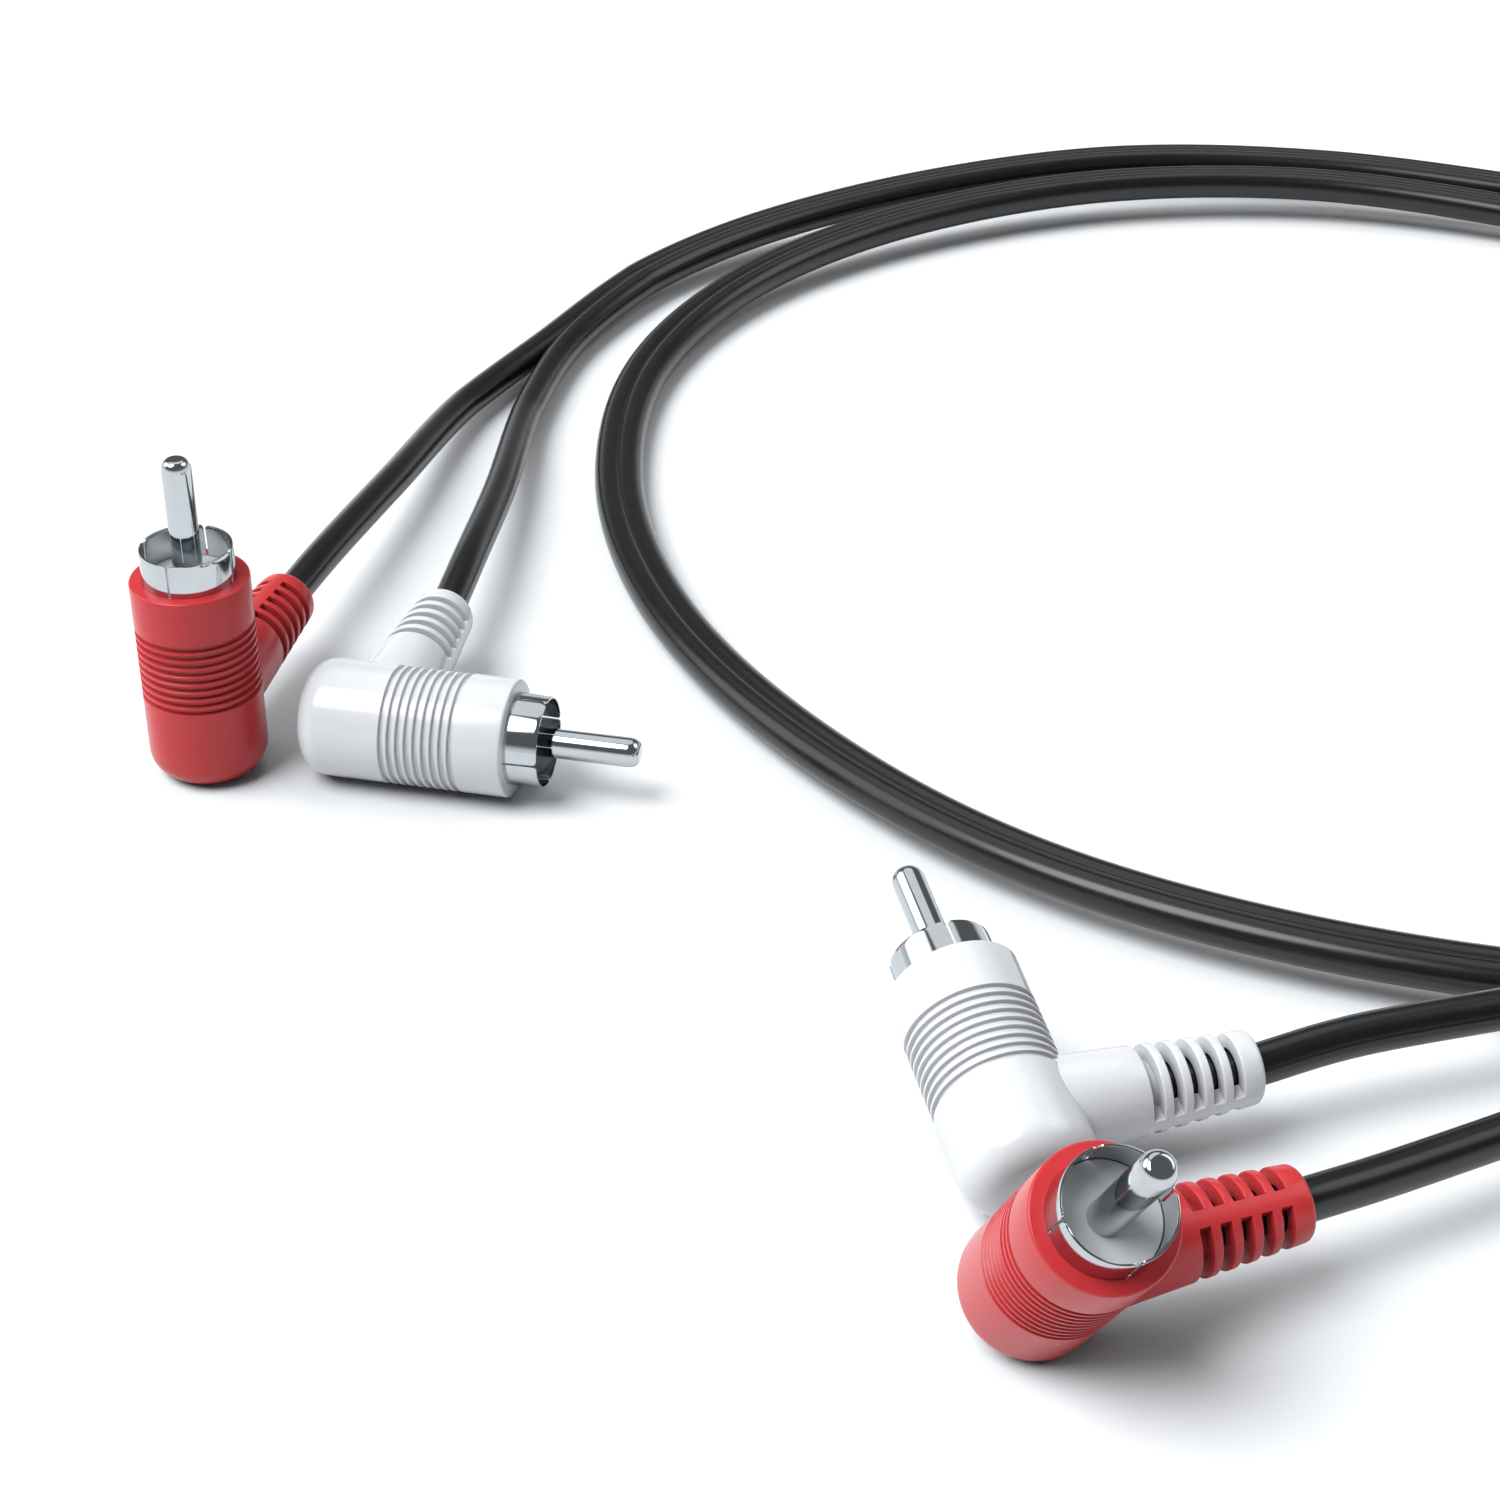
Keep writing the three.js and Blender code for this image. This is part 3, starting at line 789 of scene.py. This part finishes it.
def makeCords():
    made = {}
    for colour, side in (("red", 1), ("white", -1)):
        middle = movedLeft(joinedRoute, side * cord["spacing"] / 2)
        start = singleRoute(f"{colour}Far", middle[0])
        end = singleRoute(f"{colour}Near", middle[-1])
        route = start[:-1] + middle + end[::-1][1:]
        for fork in (len(start) - 1, len(start) + len(middle) - 2):
            route = easedAt(route, fork, cord["forkReach"])
        made[colour] = (drawCord(f"{colour}Cord", route), route)
        print(f"{colour} cord: {lengthOf(route):.4f} m")
    return made


# The thin web that holds the joined cords together, and how many steps from each fork it starts
web = {"halfWidth": 0.25 * mm, "halfHeight": 1.76 * mm, "startStep": 3}


def makeWeb():
    line = drawLine("web", joinedRoute[web["startStep"]:-web["startStep"]])
    return runTree(line, stripTree(), {"Half Width": web["halfWidth"], "Half Height": web["halfHeight"],
                                       "Material": materials["cord_jacket"]})


cords = makeCords()
webPiece = makeWeb()
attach(webPiece, "root")
for colour, (piece, route) in cords.items():
    parts = ("lead_1", "lead_2", "plug_1_cord_end", "plug_2_cord_end")
    nodes = [f"{colour}_{part}" for part in parts]
    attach(piece, "root")
    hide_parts(*nodes, *(["twin_lead"] if colour == "red" else []))
print("cords laid")


def placePlug(name, plug):
    slots = {"shell": plug["moulding"], "collar": "nickel", "insulator": "insulator", "pin": "nickel"}
    nodes = {"shell": "housing", "collar": "collar", "insulator": "insulator", "pin": "pin"}
    for part, slotName in slots.items():
        mesh = shapes[part].copy()
        mesh.transform(places[name])
        mesh.materials.clear()
        mesh.materials.append(materials[slotName])
        piece = linkPiece(f"{name}{part.capitalize()}", mesh)
        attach(piece, "root")
        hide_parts(f"{plug['node']}_{nodes[part]}")


for name, plug in plugs.items():
    placePlug(name, plug)
print("plugs placed")

# Pieces that stay as the frame has them, hidden inside the housings
hiddenFinish = {"inner_mould": "inner_resin", "core_wire": "copper", "core_sleeve": "inner_resin",
                "shield_pigtail": "copper"}
for plug in plugs.values():
    for part, finish in hiddenFinish.items():
        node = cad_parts[f"{plug['node']}_{part}"]
        node.data.materials.clear()
        node.data.materials.append(materials[finish])


# Floor and world, which gives all the light

room = {
    "floorSize": 8,
    "floorColour": (0.7, 0.705, 0.71),
    "floorSeen": (1.04, 1.045, 1.05),      # its colour to the camera and in reflections, which looks white
    "floorRoughness": 0.6,
    "floorSpecular": 0.1,
    "skyColour": (0.95, 0.975, 1),
    "dark": 0.03,               # the level of the studio between its panels
    "horizon": (0.06, 0.3),     # sines of the heights between which the white backdrop ends in reflections
    "wall": 0.16,               # the level of the studio's walls in reflections
}

# The studio's soft panels, in degrees: turn to the left of straight behind, height, half the width, soft edge
panels = [
    {"turn": 116, "height": 58, "half": 19, "edge": 8, "strength": 8},
    {"turn": 74, "height": 33, "half": 22, "edge": 6, "strength": 2.3},
    {"turn": 8, "height": 62, "half": 24, "edge": 5, "strength": 1.15},
    {"turn": 285, "height": 42, "half": 19, "edge": 8, "strength": 2},
]


# The level way that lies so many degrees to the left of straight behind, raised by the height
def wayTo(turn, height):
    turn, height = math.radians(turn), math.radians(height)
    level = math.cos(height)
    return Vector((-math.sin(turn) * level, math.cos(turn) * level, math.sin(height)))


# The share is one where the camera, a reflection or a clear part looks
def seenShare(tree):
    light = tree.nodes.new("ShaderNodeLightPath")
    share = light.outputs["Is Camera Ray"]
    for kind in ("Is Glossy Ray", "Is Transmission Ray"):
        both = addNode(tree, "ShaderNodeMath", {0: share, 1: light.outputs[kind]}, operation="MAXIMUM")
        share = both.outputs[0]
    return share


def makeFloor():
    mesh = bpy.data.meshes.new("floor")
    half = room["floorSize"] / 2
    corners = [(-half, -half, 0), (half, -half, 0), (half, half, 0), (-half, half, 0)]
    mesh.from_pydata(corners, [], [(0, 1, 2, 3)])
    floor = linkPiece("floor", mesh)
    material = bpy.data.materials.new("floor")
    material.use_nodes = True
    tree = material.node_tree
    shader = tree.nodes["Principled BSDF"]
    tone = addNode(tree, "ShaderNodeMix", {"Factor": seenShare(tree), "A": (*room["floorColour"], 1),
                   "B": (*room["floorSeen"], 1)}, data_type="RGBA")
    tree.links.new(tone.outputs["Result"], shader.inputs["Base Color"])
    shader.inputs["Roughness"].default_value = room["floorRoughness"]
    shader.inputs["Specular IOR Level"].default_value = room["floorSpecular"]
    mesh.materials.append(material)


def makeWorld():
    world = bpy.data.worlds.new("world")
    world.use_nodes = True
    bpy.context.scene.world = world
    tree = world.node_tree
    tree.nodes.clear()
    way = tree.nodes.new("ShaderNodeTexCoord").outputs["Generated"]
    height = addNode(tree, "ShaderNodeSeparateXYZ", {0: way}).outputs["Z"]
    low, high = room["horizon"]
    studio = room["dark"]
    for panel in panels:
        near = addNode(tree, "ShaderNodeVectorMath", {0: way, 1: wayTo(panel["turn"], panel["height"])},
                       operation="DOT_PRODUCT").outputs["Value"]
        rim, full = (math.cos(math.radians(panel["half"] + side * panel["edge"] / 2)) for side in (1, -1))
        lit = addNode(tree, "ShaderNodeMapRange", {"Value": near, "From Min": rim, "From Max": full,
                      "To Max": panel["strength"]}, interpolation_type="SMOOTHSTEP").outputs[0]
        studio = addNode(tree, "ShaderNodeMath", {0: studio, 1: lit}, operation="MAXIMUM").outputs[0]
    backdrop = addNode(tree, "ShaderNodeMapRange", {"Value": height, "From Min": low, "From Max": high,
                       "To Min": 1.0, "To Max": room["wall"]}, interpolation_type="SMOOTHSTEP").outputs[0]
    toCamera = tree.nodes.new("ShaderNodeLightPath").outputs["Is Camera Ray"]
    backdrop = addNode(tree, "ShaderNodeMath", {0: backdrop, 1: toCamera}, operation="MAXIMUM").outputs[0]
    seen = addNode(tree, "ShaderNodeMath", {0: backdrop, 1: seenShare(tree)}, operation="MULTIPLY")
    strength = addNode(tree, "ShaderNodeMath", {0: studio, 1: seen.outputs[0]},
                       operation="MAXIMUM").outputs[0]
    colour = addNode(tree, "ShaderNodeMix", {"Factor": toCamera, "A": (*room["skyColour"], 1),
                     "B": (1, 1, 1, 1)}, data_type="RGBA").outputs["Result"]
    sky = addNode(tree, "ShaderNodeBackground", {"Color": colour, "Strength": strength})
    end = tree.nodes.new("ShaderNodeOutputWorld")
    tree.links.new(sky.outputs[0], end.inputs["Surface"])


makeFloor()
makeWorld()
bpy.context.scene.view_settings.view_transform = "Standard"
print("floor and world set")
